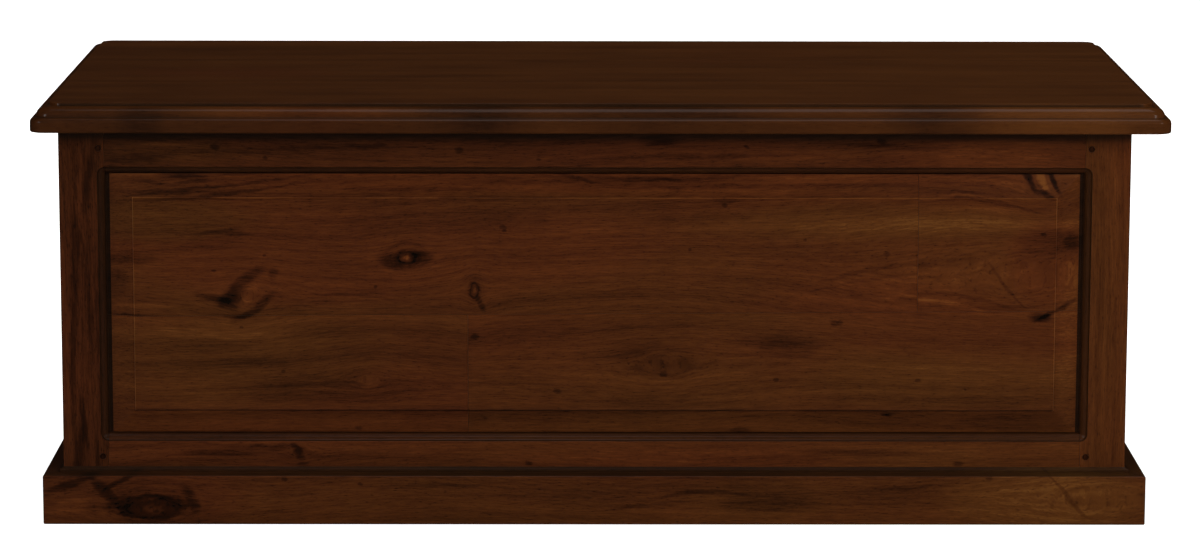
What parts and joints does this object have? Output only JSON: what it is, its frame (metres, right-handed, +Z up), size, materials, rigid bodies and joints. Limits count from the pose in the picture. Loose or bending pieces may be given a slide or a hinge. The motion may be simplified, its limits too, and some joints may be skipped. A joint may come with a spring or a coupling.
{
  "type": "wooden chest",
  "caption": "Low rectangular wooden chest with raised and fielded panels in a pegged frame, a mitred plinth and a moulded overhanging lid that lifts on butt hinges at the back.",
  "frame": {"origin": "on the floor, under the middle of the closed lid", "axes": "+X along the chest to the right of someone facing its front, +Y from the front to the back, +Z up"},
  "size_m": [1.2, 0.6, 0.4523],
  "materials": {
    "frame_wood": "dark red-brown stain under gloss polish",
    "panel_wood": "dark red-brown stain under gloss polish",
    "plinth_wood": "dark red-brown stain under gloss polish",
    "lid_wood": "dark brown stain under gloss polish",
    "peg_wood": "end grain, nearly black",
    "floor_wood": "bare planed wood",
    "brass": "aged, dull"
  },
  "bodies": {
    "carcass": {"front_left_post": "frame_wood", "front_right_post": "frame_wood", "back_left_post": "frame_wood", "back_right_post": "frame_wood", "front_top_rail": "frame_wood", "front_bottom_rail": "frame_wood", "right_top_rail": "frame_wood", "right_bottom_rail": "frame_wood", "back_top_rail": "frame_wood", "back_bottom_rail": "frame_wood", "left_top_rail": "frame_wood", "left_bottom_rail": "frame_wood", "front_panel_upper_left": "panel_wood", "front_panel_upper_right": "panel_wood", "front_panel_lower_left": "panel_wood", "front_panel_lower_right": "panel_wood", "right_panel_upper": "panel_wood", "right_panel_lower": "panel_wood", "back_panel_upper": "panel_wood", "back_panel_lower": "panel_wood", "left_panel_upper": "panel_wood", "left_panel_lower": "panel_wood", "front_top_peg_left": "peg_wood", "front_top_peg_right": "peg_wood", "front_bottom_peg_left": "peg_wood", "front_bottom_peg_right": "peg_wood", "back_top_peg_left": "peg_wood", "back_top_peg_right": "peg_wood", "back_bottom_peg_left": "peg_wood", "back_bottom_peg_right": "peg_wood", "plinth_front": "plinth_wood", "plinth_right": "plinth_wood", "plinth_back": "plinth_wood", "plinth_left": "plinth_wood", "floor_board_1": "floor_wood", "floor_board_2": "floor_wood", "floor_board_3": "floor_wood", "floor_board_4": "floor_wood", "floor_cleat_front": "floor_wood", "floor_cleat_right": "floor_wood", "floor_cleat_back": "floor_wood", "floor_cleat_left": "floor_wood", "floor_bearer": "floor_wood", "hinge_left_body_leaf": "brass", "hinge_left_pin": "brass", "hinge_right_body_leaf": "brass", "hinge_right_pin": "brass"},
    "lid": {"lid_board_front": "lid_wood", "lid_board_middle": "lid_wood", "lid_board_back": "lid_wood", "lid_batten_left": "lid_wood", "lid_batten_middle": "lid_wood", "lid_batten_right": "lid_wood", "hinge_left_lid_leaf": "brass", "hinge_right_lid_leaf": "brass"}
  },
  "joints": [
    {"name": "lid_hinge", "type": "hinge", "parent": "carcass", "child": "lid", "pos_m": [0, 0.2713, 0.418], "axis": [-1, 0, 0], "range_deg": [0, 97]}
  ]
}
